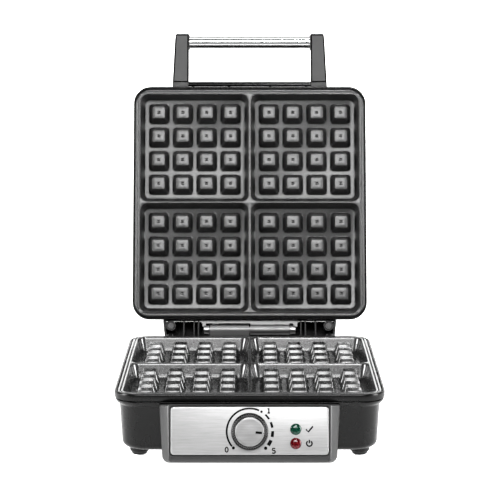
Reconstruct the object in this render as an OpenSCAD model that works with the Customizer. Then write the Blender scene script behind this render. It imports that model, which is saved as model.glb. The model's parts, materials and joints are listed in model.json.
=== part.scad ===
// Four-slice square waffle maker, lid open on a rear hinge.
// Heights are worked out from the plane of the lower plate's pyramid tips,
// then everything is raised so that the feet stand on z = 0.

/* [Plates] */
// Distance from one pyramid to the next
pitch = 25; // [22:0.5:28]
// Pyramids along one side of a waffle
rows = 4; // [3:1:5]
// Thickness of the rib between two waffles
rib_w = 2.5; // [2:0.1:4]
// Depth of a waffle cavity below the pyramid tips
cavity_depth = 11.5; // [8:0.5:14]
// How far the rim stands above the pyramid tips
rim_rise = 1.8; // [1:0.1:3]
// Width of a pyramid at its foot
pyramid_foot = 20.3; // [16:0.1:21]
// Width of a pyramid at its tip
pyramid_tip = 12.4; // [8:0.1:15]

/* [Casings] */
// Outer width of the lower rim
base_w = 245; // [230:1:260]
// Outer length of the rims, front to rear
rim_l = 244.6; // [230:1:260]
// Outer width of the lid
lid_w = 243; // [230:1:258]
// Height of the lid above the parting plane
lid_h = 42; // [36:1:50]
// Height of the pyramid tips above the table
tips_z = 61.5; // [58:0.5:70]
// Height of the lower casing's bottom above the table
floor_z = 9; // [8:0.5:14]
// Wall thickness of the casings
wall = 2.4; // [2:0.1:3.2]

/* [Hinge] */
// Hinge axis behind the middle of the plates
axis_y = 132.5; // [131:0.5:136]
// Hinge axis above the pyramid tips
axis_z = 5.9; // [5:0.1:8]
// Angle between the shut and the open lid
open_angle = 105.5; // [95:0.5:110]
// Diameter of the hinge barrels
barrel_d = 10.5; // [9:0.5:12]
// Diameter of the hinge pin
pin_d = 6; // [5:0.5:7]

/* [Controls] */
// Lean of the control panel from upright
panel_lean = 14.4; // [8:0.2:20]
// Width of the control housing at its back
control_w = 159.2; // [150:1:170]
// Length of the control housing down the lean
control_h = 51.5; // [48:0.5:54]
// Diameter of the knob's skirt
knob_d = 33; // [28:0.2:36]
// Width of the brushed panel
panel_w = 140.8; // [130:0.2:142]
// Length of the brushed panel down the lean
panel_h = 43.2; // [38:0.2:44]

/* [Handle] */
// Reach of the handle in front of the plates' middle
handle_reach = 182; // [170:1:200]
// Diameter of the grip tube
grip_d = 14; // [12:0.5:18]

/* [Hidden] */
$fn = 64;
e = 0.01;
gap = 0.4;                                   // between the two rims when shut
slide = 0.05;                                // running fit on a radius
cavity = (rows - 1) * pitch + 37.8;          // waffle size at the rim
floor_size = cavity - 9;
cell0 = rib_w / 2 + cavity / 2;              // middle of one waffle
plate_half = cavity + rib_w / 2 + 5.5;
rim_z = rim_rise;
lid_tip_z = 2 * rim_rise + gap;
bottom_z = floor_z - tips_z;
table_z = -tips_z;
rim_r = 22;
lid_r = 18;
skirt_z = -4.9;
panel_y = -131;                              // top front edge of the control housing
panel_z = -5.5;
knob_s = 23.5;                               // knob's place down the lean
panel_s = 22.9;                              // middle of the panel down the lean
plate_floor = 2.7;                           // metal under a waffle
underside = -cavity_depth - plate_floor;
capillary = [                                // from the bulb, under the element, to the thermostat
  [-40, -10 + e, -17], [-40, -69, -17], [-40, -76, -22.8], [-40, -98, -22.8], [-8, -108.4, -31.4]
];
screw_spots = [[-96, -62], [96, -62], [-96, 62], [96, 62]];
element_d = 6.6;
element_z = underside - element_d / 2 - 0.1;
shield_z = element_z - 8;                    // underside of the heat shields
fuse_z = element_z - 11;
foot_x = 100.3;
foot_y = 98;
cover_screw_x = 86;                          // base cover screws
cover_screw_y = 66;
gland_x = 82;                                // cord inlet in the rear wall
gland_z = -28;
post_h = 11.9;                               // posts that carry the thermostat bracket
post_x = 25;
stud_spots = [[-64, 9], [64, 9], [-64, 40], [64, 40]];
lens_x = 40.9;                               // lamp lenses on the panel
ready_s = 21.5;
power_s = 34;
knob_gap = 0.8;
knob_h = 15;
barrel_split = 0.5;                          // half the gap between the two barrels
barrel_x = 41.3;
leaf_t = 2;
base_leaf_spots = [[-34, -34], [34, -34], [-34, -20], [34, -20]];
lid_leaf_spots = [[-36, 18], [36, 18], [-36, 30], [36, 30]];
boss_x = 82;                                 // screw bosses of the hinge cover
boss_y = 128;
cover_y1 = 142.4;                            // rear and height of the hinge cover
cover_z0 = 9.6;
cover_z1 = 37;
bar_y = -172.3;                              // axis of the grip tube
bar_z = 16;
post_in = 64.4;                              // inner and outer faces of the handle's arms
post_out = 81.2;
arm_y = -rim_l / 2 - 1;                      // root of the arms, clear of the rim
tip_r = 10.95;
handle_screw_x = [-60, -22, 22, 60];
handle_screw_z = 23.5;

dark = [0.16, 0.16, 0.17];
iron = [0.33, 0.33, 0.34];
steel = [0.78, 0.78, 0.8];

// ---------------------------------------------------------------- places

// the base frame: feet on the table, hull of the whole object centred in y
module place() {
  translate([0, centre_shift, tips_z]) children();
}

// the lid is drawn shut and swung open about the hinge axis
module place_lid() {
  place() translate([0, axis_y, axis_z]) rotate([-open_angle, 0, 0]) translate([0, -axis_y, -axis_z])
    children();
}

// the panel frame: x to the right, y up the lean, z out towards the cook
module on_panel(x = 0, s = 0, out = 0) {
  place() translate([0, panel_y, panel_z]) rotate([90 - panel_lean, 0, 0]) translate([x, -s, out])
    children();
}

// the lid's plate is the lower plate turned over about the parting plane
module turned_over() {
  translate([0, 0, lid_tip_z]) mirror([0, 0, 1]) children();
}

// ---------------------------------------------------------------- shapes

module rounded(w, l, r) {
  w2 = w - 2 * r;
  l2 = l - 2 * r;
  square([w, l2], center = true);
  square([w2, l], center = true);
  for (sx = [-1, 1], sy = [-1, 1]) translate([sx * w2 / 2, sy * l2 / 2]) circle(r);
}

module slab(w, l, r, z0, z1) {
  translate([0, 0, z0]) linear_extrude(z1 - z0) rounded(w, l, r);
}

module layer(w, l, r, z) {
  translate([0, 0, z]) linear_extrude(e) rounded(w, l, r, $fn = 32);
}

module rod(p, q, d) {
  v = q - p;
  len = norm(v);
  translate(p) rotate([0, acos(v.z / len), atan2(v.y, v.x)]) cylinder(d = d, h = len);
}

module elbow(c, r, d, a0, turn = 90) {
  translate(c) rotate([0, 0, a0]) rotate_extrude(angle = turn) translate([r, 0]) circle(d = d, $fn = 32);
}

// pan-head cross-recess screw: its head stands on z = 0, its shank goes down
module screw(d = 3, head = 6, l = 10) {
  difference() {
    union() {
      cylinder(d = head, h = 1.8, $fn = 32);
      translate([0, 0, -l]) cylinder(d = d, h = l + e, $fn = 32);
    }
    for (a = [0, 90]) rotate([0, 0, a]) translate([-head * 0.3, -0.4, 0.8]) cube([head * 0.6, 0.8, 2]);
  }
}

module corners4(x, y) {
  for (sx = [-1, 1], sy = [-1, 1]) translate([sx * x, sy * y]) children();
}

// ---------------------------------------------------------------- plates

module pyramid(foot, tip, h) {
  r = sqrt(2) / 2;
  rotate([0, 0, 45]) cylinder(r1 = foot * r, r2 = tip * r, h = h, $fn = 4);
}

function pyramid_spot(sx, sy, i, j) = [
  sx * (cell0 + (i - (rows - 1) / 2) * pitch),
  sy * (cell0 + (j - (rows - 1) / 2) * pitch),
  -cavity_depth - e
];

module waffle_plate() {
  difference() {
    union() {
      slab(2 * plate_half, 2 * plate_half, 16, rim_z - 2.6, rim_z);
      hull() {
        layer(2 * cavity + rib_w + 4, 2 * cavity + rib_w + 4, 14, rim_z - 2.5);
        layer(2 * cavity - 2, 2 * cavity - 2, 15, underside);
      }
    }
    for (sx = [-1, 1], sy = [-1, 1]) translate([sx * cell0, sy * cell0, 0]) hull() {
      layer(cavity, cavity, 8, rim_z + e);
      layer(floor_size, floor_size, 5, -cavity_depth);
    }
    drip_groove();
    for (sx = [-1, 1], sy = [-1, 1], i = [0:rows - 1], j = [0:rows - 1])
      translate(pyramid_spot(sx, sy, i, j)) translate([0, 0, -plate_floor - 1])
        pyramid(pyramid_foot - 5.5, pyramid_tip - 5, cavity_depth + 1);
  }
  for (sx = [-1, 1], sy = [-1, 1], i = [0:rows - 1], j = [0:rows - 1])
    translate(pyramid_spot(sx, sy, i, j)) difference() {
      pyramid(pyramid_foot, pyramid_tip, cavity_depth);
      translate([0, 0, -1]) pyramid(pyramid_foot - 4.6, pyramid_tip - 4.6, cavity_depth - 1.7);
      translate([0, 0, cavity_depth + 0.5]) sphere(d = 3.4, $fn = 16);
    }
}

// shallow groove that catches spilt batter all round the waffles
module drip_groove() {
  translate([0, 0, rim_z - 0.8]) linear_extrude(1) difference() {
    rounded(2 * (plate_half - 3.4), 2 * (plate_half - 3.4), 12.6);
    rounded(2 * (plate_half - 4.2), 2 * (plate_half - 4.2), 11.8);
  }
}

module element() {
  a = 82;
  r = 24;
  z = element_z;
  for (sx = [-1, 1]) {
    rod([sx * a, -a + r, z], [sx * a, a - r, z], element_d);
    rod([sx * (a - r), -a, z], [sx * 18, -a, z], element_d);
    rod([sx * 18, -a - e, z], [sx * 18, -a - 12, z], element_d);
    rod([sx * 18, -a - 12 + e, z], [sx * 18, -a - 19, z], 3);
  }
  rod([-a + r, a, z], [a - r, a, z], element_d);
  elbow([a - r, a - r, z], r, element_d, 0);
  elbow([-a + r, a - r, z], r, element_d, 90);
  elbow([-a + r, -a + r, z], r, element_d, 180);
  elbow([a - r, -a + r, z], r, element_d, 270);
  for (sx = [-1, 1]) translate([sx * 18, -a, z]) sphere(d = element_d + 0.02, $fn = 32);
}

module element_clamps() {
  for (sx = [-1, 1], y = [-30, 30]) translate([sx * 82, y, element_z]) difference() {
    union() {
      translate([-9, -5, -4.6]) cube([18, 10, 1.2]);
      translate([-4.7, -5, -4.6]) cube([1.2, 10, 7.4]);
      translate([3.5, -5, -4.6]) cube([1.2, 10, 7.4]);
    }
    rotate([90, 0, 0]) cylinder(d = element_d + 0.2, h = 20, center = true);
  }
}

module heat_shield() {
  difference() {
    slab(208, 190, 12, shield_z, shield_z + 1);
    for (sx = [-1, 1]) translate([sx * 18, -88, shield_z - 1]) cylinder(d = 10, h = 4);
    for (p = screw_spots) translate([p.x, p.y, shield_z - 1]) cylinder(d = 3.6, h = 4);
    corners4(70, 40) translate([0, 0, shield_z - 1]) linear_extrude(4) square([26, 5], center = true);
  }
}

// ---------------------------------------------------------------- casings

// casing below a parting plane at z = top: rolled lip, drafted wall and rounded foot
module casing_outside(w, l, r, top, low) {
  hull() {
    layer(w - 1.6, l - 1.6, r - 1, top);
    layer(w - 2.6, l - 2.6, r - 1.3, top - 3);
    layer(w - 7.6, l - 7.6, r - 4, top - 5.4);
  }
  hull() {
    layer(w - 8.6, l - 8.6, r - 4.5, top - 1);
    layer(w - 12, l - 12, r - 5, low + 9);
    layer(w - 15, l - 15, r - 6, low + 3.4);
    layer(w - 21, l - 21, r - 8, low + 0.7);
    layer(w - 27, l - 27, r - 9, low);
  }
}

module casing_inside(w, l, r, top, low) {
  hull() {
    layer(w - 12, l - 12, r - 5.5, top + 1);
    layer(w - 12 - 2 * wall, l - 12 - 2 * wall, r - 6, low + 10);
    layer(w - 27 - 2 * wall, l - 27 - 2 * wall, r - 9, low + wall);
  }
}

module lower_housing() {
  color(dark) place() difference() {
    union() {
      casing_outside(base_w, rim_l, rim_r, skirt_z, bottom_z);
      translate([-52, 108, -40]) cube([104, 19, 27]);
    }
    casing_inside(base_w, rim_l, rim_r, skirt_z, bottom_z);
    translate([0, 0, bottom_z - 1]) linear_extrude(6) rounded(190, 150, 8);
    translate([-70, -130, -47.6]) cube([140, 22, 34.6]);
    translate([gland_x, 100, gland_z]) rotate([-90, 0, 0]) cylinder(d = 14, h = 40);
    for (p = base_leaf_spots) translate([p.x, 100, p.y]) rotate([-90, 0, 0]) cylinder(d = 3, h = 40);
    corners4(foot_x, foot_y) translate([0, 0, bottom_z - 1]) cylinder(d = 4, h = 8);
  }
}

module rim_frame(w, l, r, top, low) {
  difference() {
    union() {
      slab(w - 1, l - 1, r - 0.5, top - 0.6, top);
      slab(w, l, r, low, top - 0.5);
    }
    slab(2 * plate_half + 0.6, 2 * plate_half + 0.6, 16.3, top - 2.7, top + 1);
    slab(2 * plate_half - 6, 2 * plate_half - 6, 13, low - 1, top + 1);
  }
}

module lower_rim_frame() {
  color(dark) place() {
    rim_frame(base_w, rim_l, rim_r, rim_z, skirt_z + 0.1);
    for (x = [-boss_x, boss_x]) {
      translate([x, rim_l / 2 + 4.8, skirt_z + 0.2]) cylinder(d = 9, h = 7.4);
      translate([x - 2, rim_l / 2 - 0.5, skirt_z + 0.2]) cube([4, 2, 5]);
    }
  }
}

module lower_plate() {
  color(iron) place() waffle_plate();
}

module lower_element() {
  color(steel) place() element();
}

module lower_heat_shield() {
  color(steel) place() heat_shield();
}

module lower_element_clamps() {
  color(steel) place() element_clamps();
}

module plate_screw_set() {
  for (p = screw_spots) translate([p.x, p.y, shield_z - 0.1]) rotate([180, 0, 0]) screw(2.9, 6.5, 11.3);
}

module plate_screws() {
  color(steel) place() plate_screw_set();
}

// lower cover plate that closes the casing's bottom opening
module base_cover() {
  color(dark) place() difference() {
    union() {
      slab(189, 149, 7.5, bottom_z + 0.1, bottom_z + 2.5);
      slab(196, 156, 9, bottom_z + 2.5 - e, bottom_z + 4.5);
    }
    for (y = [-50:10:50]) translate([0, y, bottom_z - 1]) linear_extrude(8) rounded(70, 4, 1.9);
    corners4(cover_screw_x, cover_screw_y) translate([0, 0, bottom_z - 1]) cylinder(d = 3.4, h = 8);
  }
}

module base_cover_screws() {
  color(steel) place() corners4(cover_screw_x, cover_screw_y) translate([0, 0, bottom_z]) rotate([180, 0, 0])
    screw(3, 6.4, 9);
}

module feet() {
  color(dark) place() corners4(foot_x, foot_y) translate([0, 0, table_z]) difference() {
    rotate_extrude() polygon([[0, 2], [4.6, 2], [5.6, 2.6], [8, floor_z - 3.6], [8.6, floor_z - 1.8],
      [8.6, floor_z], [1.9, floor_z], [1.9, floor_z + 6.5], [0, floor_z + 6.5]]);
    translate([0, 0, 1]) cylinder(d = 7, h = 2.2);
  }
}

module foot_pads() {
  color([0.8, 0.8, 0.8]) place() corners4(foot_x, foot_y) translate([0, 0, table_z])
    rotate_extrude() polygon([[0, 0], [3.4, 0], [4, 0.5], [4, 1.9], [3.4, 1.9], [3.4, 3], [0, 3]]);
}

// ---------------------------------------------------------------- wiring in the base

module cord_gland() {
  color(dark) place() translate([gland_x, 111, gland_z]) rotate([-90, 0, 0]) difference() {
    union() {
      cylinder(d = 18, h = 2.4);
      cylinder(d = 13.8, h = 14);
      translate([0, 0, 6.9]) cylinder(d = 17, h = 3);
      cylinder(d = 12.4, h = 22);
    }
    translate([0, 0, -1]) cylinder(d = 7.4, h = 30);
    for (z = [14, 17.4]) translate([-8, 4.6, z]) cube([16, 4, 1.4]);
    for (z = [14, 17.4]) translate([-8, -8.6, z]) cube([16, 4, 1.4]);
  }
}

module cord_clamp() {
  color(dark) place() translate([gland_x, 100.8, gland_z - 6.5]) difference() {
    union() {
      translate([-13, -4, 0]) cube([26, 8, 3]);
      for (sx = [-1, 1]) translate([sx * 9.5 - 2.5, -4, 2.9]) cube([5, 8, 7]);
      translate([-13, -4, 9.8]) cube([26, 8, 2.4]);
    }
    translate([0, 5, 6.5]) rotate([90, 0, 0]) cylinder(d = 7, h = 12);
  }
}

module terminal_block() {
  color([0.9, 0.9, 0.86]) place() translate([30, 62, bottom_z + 5]) for (i = [0:2])
    translate([i * 11, 0, 0]) difference() {
      union() {
        translate([-4.5, -9, 0]) cube([9, 18, 11]);
        translate([-5.55, -4, 0]) cube([11.1, 8, 6]);
      }
      translate([0, 10, 5]) rotate([90, 0, 0]) cylinder(d = 4.4, h = 20);
      for (y = [-5, 5]) translate([0, y, 6]) cylinder(d = 4, h = 6);
    }
}

module thermal_fuse() {
  color(steel) place() {
    rod([48, -60, fuse_z], [48, -36, fuse_z], 4.6);
    rod([48, -36 - e, fuse_z], [48, -20, fuse_z], 1.4);
    rod([48, -76, fuse_z], [48, -60 + e, fuse_z], 1.4);
  }
}

module fuse_clip() {
  color(steel) place() translate([48, -48, fuse_z]) difference() {
    union() {
      translate([-3.6, -4, -3.6]) cube([7.2, 8, 6.4]);
      translate([-11, -4, 1.9]) cube([22, 8, 1]);
    }
    rotate([90, 0, 0]) cylinder(d = 4.7, h = 20, center = true);
  }
}

module mains_wires() {
  color([0.75, 0.6, 0.2]) place() {
    rod([41, 51, bottom_z + 10], [41, -16, fuse_z - 6], 2.6);
    translate([41, -16, fuse_z - 6]) sphere(d = 2.62, $fn = 32);
    rod([41, -16, fuse_z - 6], [20, -104, -33], 2.6);
    rod([30, 51, bottom_z + 10], [-22, -104, -33], 2.6);
  }
}

// ---------------------------------------------------------------- control housing

module control_housing() {
  face_w = control_w - 15;
  color(dark) difference() {
    hull() {
      on_panel(0, control_h / 2 - 1.2, 0) layer(face_w, control_h - 1.4, 2.5, -e);
      on_panel(0, control_h / 2 - 0.6, 0) layer(control_w, control_h, 4, -7);
      place() translate([-control_w / 2, -110, -6]) cube([control_w, e, e]);
      place() translate([-control_w / 2 + 3, -110, bottom_z + 6]) cube([control_w - 6, e, e]);
    }
    place() casing_outside(base_w + 0.5, rim_l + 0.5, rim_r, skirt_z, bottom_z);
    control_hollow();
    on_panel(0, panel_s, -1) linear_extrude(3) rounded(panel_w + 0.6, panel_h + 0.6, 3);
    on_panel(0, knob_s, -14) cylinder(d = 11, h = 16);
    for (s = [ready_s, power_s]) on_panel(lens_x, s, -14) cylinder(d = 6.2, h = 16);
    for (p = stud_spots) on_panel(p.x, p.y, -5) cylinder(d = 2.6, h = 6);
  }
  color(dark) difference() {
    for (x = [-post_x, post_x]) on_panel(x, knob_s, -post_h - 3 - e) cylinder(d = 7, h = post_h + 0.2);
    for (x = [-post_x, post_x]) on_panel(x, knob_s, -post_h - 4) cylinder(d = 2.6, h = post_h);
  }
}

// space behind the panel, open towards the lower casing
module control_hollow() {
  on_panel(0, control_h / 2 - 1, -34) linear_extrude(31) rounded(132, 40, 3);
}

module control_panel() {
  color(steel) difference() {
    on_panel(0, panel_s, -0.95) linear_extrude(1.15) rounded(panel_w, panel_h, 2.8);
    on_panel(0, knob_s, -2) cylinder(d = 9, h = 4);
    on_panel(lens_x, ready_s, -2) cylinder(d = 6.2, h = 4);
    on_panel(lens_x, power_s, -2) cylinder(d = 6.2, h = 4);
  }
}

// studs on the panel's back that press into the housing
module panel_studs() {
  color(steel) for (p = stud_spots) on_panel(p.x, p.y, -4.5) cylinder(d = 2.5, h = 3.54);
}

module lens(s) {
  on_panel(lens_x, s, 0.25) rotate_extrude() polygon([[0, -9], [2.2, -9], [3, -8], [3, 0], [5, 0],
    [5, 0.8], [4.4, 1.5], [2.8, 2.1], [0, 2.3]]);
}

module ready_lens() {
  color([0.1, 0.35, 0.2]) lens(ready_s);
}

module power_lens() {
  color([0.5, 0.08, 0.1]) lens(power_s);
}

module neon_lamps() {
  color([0.9, 0.6, 0.4]) for (s = [ready_s, power_s]) on_panel(lens_x, s, 0) {
    translate([0, 0, -17]) cylinder(d = 4, h = 7);
    translate([0, 0, -10 - e]) cylinder(d1 = 4, d2 = 1.6, h = 1);
    for (dx = [-1, 1]) translate([dx, 0, -20]) cylinder(d = 0.7, h = 3.1, $fn = 16);
  }
}

module lamp_holder() {
  color(dark) difference() {
    union() {
      on_panel(lens_x, (ready_s + power_s) / 2, -15.5) linear_extrude(3.5) rounded(14, 32, 3);
      for (s = [ready_s - 7.6, power_s + 7.6]) on_panel(lens_x, s, -13) cylinder(d = 3.6, h = 9.9);
    }
    for (s = [ready_s, power_s]) on_panel(lens_x, s, -17) cylinder(d = 4.1, h = 9);
  }
}

// ---------------------------------------------------------------- thermostat

module thermostat_body() {
  color([0.85, 0.83, 0.78]) difference() {
    union() {
      on_panel(0, knob_s, -27) cylinder(d = 24, h = 8);
      on_panel(-16, knob_s, -26) linear_extrude(4) rounded(12, 8, 1);
      on_panel(16, knob_s, -26) linear_extrude(4) rounded(12, 8, 1);
      on_panel(0, knob_s, -19.1) cylinder(d = 14, h = 2.6);
    }
    on_panel(0, knob_s, -24.3) cylinder(d = 6.14, h = 12);
  }
}

module thermostat_bracket() {
  color(steel) difference() {
    on_panel(0, knob_s, -16.4) linear_extrude(1.4) rounded(60, 18, 3);
    on_panel(0, knob_s, -18) cylinder(d = 10, h = 6);
    for (x = [-post_x, post_x]) on_panel(x, knob_s, -18) cylinder(d = 3.2, h = 6);
  }
}

// sensing bulb under the plate, with its capillary
module thermostat_bulb() {
  color([0.7, 0.45, 0.25]) place() {
    rod([-40, -10, -17], [-40, 30, -17], 5);
    for (i = [1:len(capillary) - 1]) rod(capillary[i - 1], capillary[i], 1.6);
    for (i = [1:len(capillary) - 2]) translate(capillary[i]) sphere(d = 1.62, $fn = 24);
  }
}

module panel_wires() {
  color([0.7, 0.15, 0.12]) place() {
    rod([lens_x, -100, -26], [26, -103, -33], 1.8);
    translate([26, -103, -33]) sphere(d = 1.82, $fn = 24);
    rod([26, -103, -33], [24, -86, -36], 1.8);
  }
}

module thermostat_shaft() {
  color(steel) on_panel(0, knob_s, -24) difference() {
    cylinder(d = 6, h = 34);
    translate([-4, 1.6, 23.5]) cube([8, 4, 12]);
  }
}

// thin spring clip inside the knob's bore
module shaft_spring() {
  color(steel) on_panel(0, knob_s, 4) translate([-2, 1.72, 0]) cube([4, 0.5, 5]);
}

// ---------------------------------------------------------------- knob

module control_knob() {
  color(dark) on_panel(0, knob_s, knob_gap) difference() {
    union() {
      rotate_extrude() polygon([[0, 0], [knob_d / 2 - 0.4, 0], [knob_d / 2, 0.5], [knob_d / 2, 2],
        [knob_d / 2 - 1.2, 2.8], [knob_d / 2 - 1.8, knob_h - 1.4], [knob_d / 2 - 3, knob_h], [0, knob_h]]);
      for (i = [0:35]) rotate([0, 0, i * 10]) translate([knob_d / 2 - 1.5, 0, 2.2]) cylinder(d = 1.1, h = 10.6,
        $fn = 16);
    }
    translate([0, 0, knob_h - 0.9]) cylinder(d = 25.7, h = 2);
    difference() {
      translate([0, 0, -1]) cylinder(d = 6.1, h = 11.2);
      translate([-4, 2.3, -2]) cube([8, 4, 13]);
    }
    difference() {
      translate([0, 0, -1]) cylinder(d = 26, h = 11);
      translate([0, 0, -2]) cylinder(d = 12, h = 13);
    }
  }
}

module knob_cap() {
  color(steel) on_panel(0, knob_s, knob_gap + knob_h - 0.85) rotate_extrude()
    polygon([[0, 0], [12.8, 0], [12.8, 0.8], [12.2, 1.3], [0, 1.7]]);
}

module knob_pointer() {
  color("black") on_panel(0, knob_s, knob_gap + knob_h + 0.5) rotate([0, 0, -5]) translate([5.2, -0.8, 0])
    difference() {
      translate([0, 0, 0.38]) cube([5, 1.6, 0.25]);
      translate([6.5, 0, -1]) cube([3, 3, 3]);
    }
}

// ---------------------------------------------------------------- hinge

module barrel(x0, x1) {
  translate([x0, axis_y, axis_z]) rotate([0, 90, 0]) cylinder(d = barrel_d, h = x1 - x0);
}

module pin_hole(r_add) {
  translate([-80, axis_y, axis_z]) rotate([0, 90, 0]) cylinder(d = pin_d + 2 * r_add, h = 160);
}

module base_hinge_leaf() {
  y0 = axis_y - barrel_d / 2;
  color(steel) place() difference() {
    union() {
      barrel(-barrel_x, -barrel_split);
      translate([-barrel_x, y0, -12]) cube([barrel_x - barrel_split, leaf_t, 12 + axis_z]);
      translate([-46, y0, -38]) cube([92, leaf_t, 27]);
    }
    pin_hole(0.02);
    for (p = base_leaf_spots) translate([p.x, y0 - 1, p.y]) rotate([-90, 0, 0]) cylinder(d = 3.4, h = 4);
  }
}

module base_leaf_screws() {
  color(steel) place() for (p = base_leaf_spots)
    translate([p.x, axis_y - barrel_d / 2 + leaf_t, p.y]) rotate([-90, 0, 0]) screw(2.9, 6.4, 14);
}

module hinge_pin() {
  color(steel) place() translate([-47.5, axis_y, axis_z]) rotate([0, 90, 0]) cylinder(d = pin_d, h = 95);
}

// domed push-on nuts at both ends of the pin
module pin_nuts() {
  color(steel) place() for (s = [-1, 1]) translate([s * 42.2, axis_y, axis_z]) rotate([0, s * 90, 0])
    difference() {
      union() {
        cylinder(d = 9.6, h = 1);
        translate([0, 0, 0.9]) cylinder(d = 8.4, h = 4);
      }
      translate([0, 0, -1]) cylinder(d = pin_d + 0.04, h = 8);
    }
}

module lid_hinge_leaf() {
  z1 = axis_z + barrel_d / 2;
  y1 = rim_l / 2 + 0.3;
  color(steel) place_lid() difference() {
    union() {
      barrel(barrel_split, barrel_x);
      translate([barrel_split, y1 + 1, z1 - leaf_t]) cube([barrel_x - barrel_split, axis_y - y1 - 1, leaf_t]);
      translate([-50, y1, z1 - leaf_t]) cube([100, 3.2, leaf_t]);
      translate([-50, y1, z1 - e - leaf_t]) cube([100, leaf_t, 24]);
      for (sx = [-1, 1]) translate([sx * 47.2 - 2, y1, z1 - leaf_t]) cube([4, 6.4, leaf_t]);
    }
    pin_hole(slide);
    for (p = lid_leaf_spots) translate([p.x, y1 - 1, p.y]) rotate([-90, 0, 0]) cylinder(d = 3.4, h = 4);
  }
}

module lid_leaf_screws() {
  color(steel) place_lid() for (p = lid_leaf_spots)
    translate([p.x, rim_l / 2 + 0.3 + leaf_t, p.y]) rotate([-90, 0, 0]) screw(2.9, 6.4, 11);
}

module hinge_cover() {
  y0 = rim_l / 2 + 0.2;
  color(dark) place_lid() difference() {
    union() {
      difference() {
        hull() {
          translate([-90, y0, cover_z0]) cube([180, 1, cover_z1 - cover_z0]);
          translate([-88, cover_y1 - 3, cover_z0]) cube([176, 3, cover_z1 - cover_z0 - 5]);
        }
        hull() {
          translate([-88, y0 - 1, cover_z0 - 1]) cube([176, 1, cover_z1 - cover_z0 - 1.2]);
          translate([-86, cover_y1 - 5, cover_z0 - 1]) cube([172, 3, cover_z1 - cover_z0 - 6]);
        }
      }
      for (sx = [-1, 1], x = [53.2, 57.8, 68.4])
        translate([sx * x - 0.7, y0 + 0.1, cover_z0 + 2]) cube([1.4, cover_y1 - y0 - 4, 22]);
      for (x = [-boss_x, boss_x]) translate([x, boss_y, cover_z0]) cylinder(d = 10.5, h = 24.4);
    }
    for (x = [-boss_x, boss_x]) translate([x, boss_y, cover_z0 - 1]) {
      cylinder(d = 7, h = 3.4);
      cylinder(d = 3.2, h = 17);
    }
  }
}

module hinge_cover_screws() {
  color(steel) place_lid() for (x = [-boss_x, boss_x]) translate([x, boss_y, cover_z0 + 2.3]) rotate([180, 0, 0])
    screw(3, 6, 13);
}

// ---------------------------------------------------------------- lid

module upper_housing() {
  color(dark) place_lid() translate([0, 0, lid_tip_z]) mirror([0, 0, 1]) difference() {
    union() {
      casing_outside(lid_w, rim_l, lid_r, skirt_z, rim_z - lid_h);
      translate([-90, 113, skirt_z - 28]) cube([180, rim_l / 2 - 113, 27.5]);
    }
    casing_inside(lid_w, rim_l, lid_r, skirt_z, rim_z - lid_h);
    for (p = lid_leaf_spots) translate([p.x, 100, lid_tip_z - p.y]) rotate([-90, 0, 0])
      cylinder(d = 3.1, h = 30);
    for (x = handle_screw_x) translate([x, -100, lid_tip_z - handle_screw_z]) rotate([90, 0, 0])
      cylinder(d = 3.2, h = 30);
    translate([0, 108, -20]) rotate([-90, 0, 0]) cylinder(d = 8, h = 20);
  }
}

module upper_rim_frame() {
  color(dark) place_lid() turned_over() rim_frame(lid_w, rim_l, lid_r, rim_z, skirt_z + 0.1);
}

module upper_plate() {
  color(iron) place_lid() turned_over() waffle_plate();
}

module upper_element() {
  color(steel) place_lid() turned_over() element();
}

module upper_heat_shield() {
  color(steel) place_lid() turned_over() heat_shield();
}

module upper_element_clamps() {
  color(steel) place_lid() turned_over() element_clamps();
}

module upper_plate_screws() {
  color(steel) place_lid() turned_over() plate_screw_set();
}

module lid_wires() {
  color([0.75, 0.6, 0.2]) place_lid() turned_over() for (sx = [-1, 1]) {
    rod([sx * 18, -98.5, element_z - 10], [sx * 6, 112, element_z - 10], 2.4);
  }
}

// ---------------------------------------------------------------- handle

module post_outline() {
  polygon([[post_in, arm_y], [post_out, arm_y], [78.3, -handle_reach + 3], [76.5, -handle_reach],
    [post_in, -handle_reach]]);
}

// outline of the cover let into an arm, set in from the arm's edges
module arm_cover_outline(inset) {
  offset(delta = -inset) intersection() {
    post_outline();
    translate([60, -handle_reach + 3]) square([30, 54]);
  }
}

module arm() {
  intersection() {
    translate([0, 0, 5]) linear_extrude(23) post_outline();
    translate([60, 0, 0]) rotate([90, 0, 90]) linear_extrude(24) hull() {
      translate([bar_y + 2.3, bar_z]) circle(tip_r, $fn = 48);
      translate([-124, 5]) square([3, 23]);
    }
  }
}

module handle_frame() {
  color(dark) place_lid() difference() {
    union() {
      translate([-post_out, -129.4, 6]) cube([2 * post_out, 129.4 + arm_y, 22]);
      for (x = handle_screw_x) translate([x, -118.2, handle_screw_z]) rotate([90, 0, 0]) cylinder(d = 8.6, h = 6);
      for (s = [0, 1]) mirror([s, 0, 0]) arm();
    }
    translate([-post_in - 7, bar_y, bar_z]) rotate([0, 90, 0]) cylinder(d = grip_d + 0.1, h = 2 * post_in + 14);
    for (s = [0, 1]) mirror([s, 0, 0]) translate([0, 0, 4]) linear_extrude(2.9) arm_cover_outline(0.9);
    for (x = handle_screw_x) translate([x, -110, handle_screw_z]) rotate([90, 0, 0]) cylinder(d = 2.9, h = 17.4);
  }
}

// flat covers let into the undersides of the two arms
module handle_covers() {
  color([0.3, 0.3, 0.31]) place_lid() for (s = [0, 1]) mirror([s, 0, 0]) translate([0, 0, 5.1])
    linear_extrude(1.7) arm_cover_outline(1.1);
}

module handle_bar() {
  color(steel) place_lid() translate([-post_in - 6.8, bar_y, bar_z]) rotate([0, 90, 0]) difference() {
    cylinder(d = grip_d, h = 2 * post_in + 13.6);
    translate([0, 0, -1]) cylinder(d = grip_d - 2.4, h = 2 * post_in + 20);
  }
}

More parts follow.
